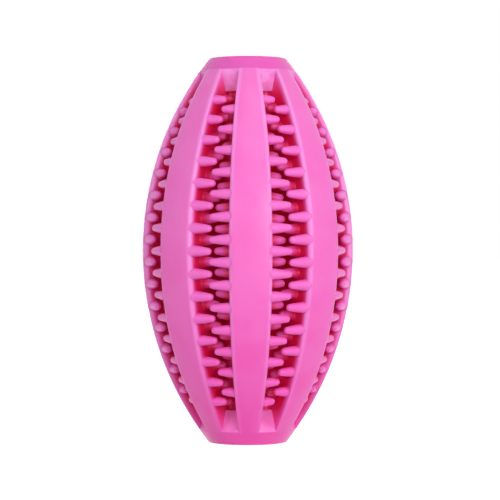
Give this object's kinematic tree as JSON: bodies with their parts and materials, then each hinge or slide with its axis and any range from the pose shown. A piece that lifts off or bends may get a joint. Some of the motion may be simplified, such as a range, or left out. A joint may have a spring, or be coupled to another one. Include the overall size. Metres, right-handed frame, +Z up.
{
  "type": "rubber chew toy",
  "caption": "Barrel-shaped dental chew toy of pink rubber: smooth ribs round a hollow core between two end collars, grooves lined with soft nubs, and room for treats inside.",
  "frame": {"origin": "centre of the lower end face, on the toy's long axis, where the toy stands", "axes": "+Z up the long axis from the lower end face to the upper one; -Y through the middle of rib_1; +X to the right of someone who faces rib_1"},
  "size_m": [0.0604, 0.0604, 0.11],
  "materials": {
    "pink_rubber": "satin moulded rubber, slightly translucent"
  },
  "bodies": {
    "root": {"top_collar": "pink_rubber", "bottom_collar": "pink_rubber", "core": "pink_rubber", "rib_1": "pink_rubber", "rib_2": "pink_rubber", "rib_3": "pink_rubber", "rib_4": "pink_rubber", "rib_5": "pink_rubber", "rib_6": "pink_rubber", "rib_7": "pink_rubber", "rib_8": "pink_rubber", "rib_1_left_nubs": "pink_rubber", "rib_1_right_nubs": "pink_rubber", "rib_2_left_nubs": "pink_rubber", "rib_2_right_nubs": "pink_rubber", "rib_3_left_nubs": "pink_rubber", "rib_3_right_nubs": "pink_rubber", "rib_4_left_nubs": "pink_rubber", "rib_4_right_nubs": "pink_rubber", "rib_5_left_nubs": "pink_rubber", "rib_5_right_nubs": "pink_rubber", "rib_6_left_nubs": "pink_rubber", "rib_6_right_nubs": "pink_rubber", "rib_7_left_nubs": "pink_rubber", "rib_7_right_nubs": "pink_rubber", "rib_8_left_nubs": "pink_rubber", "rib_8_right_nubs": "pink_rubber"}
  },
  "joints": []
}
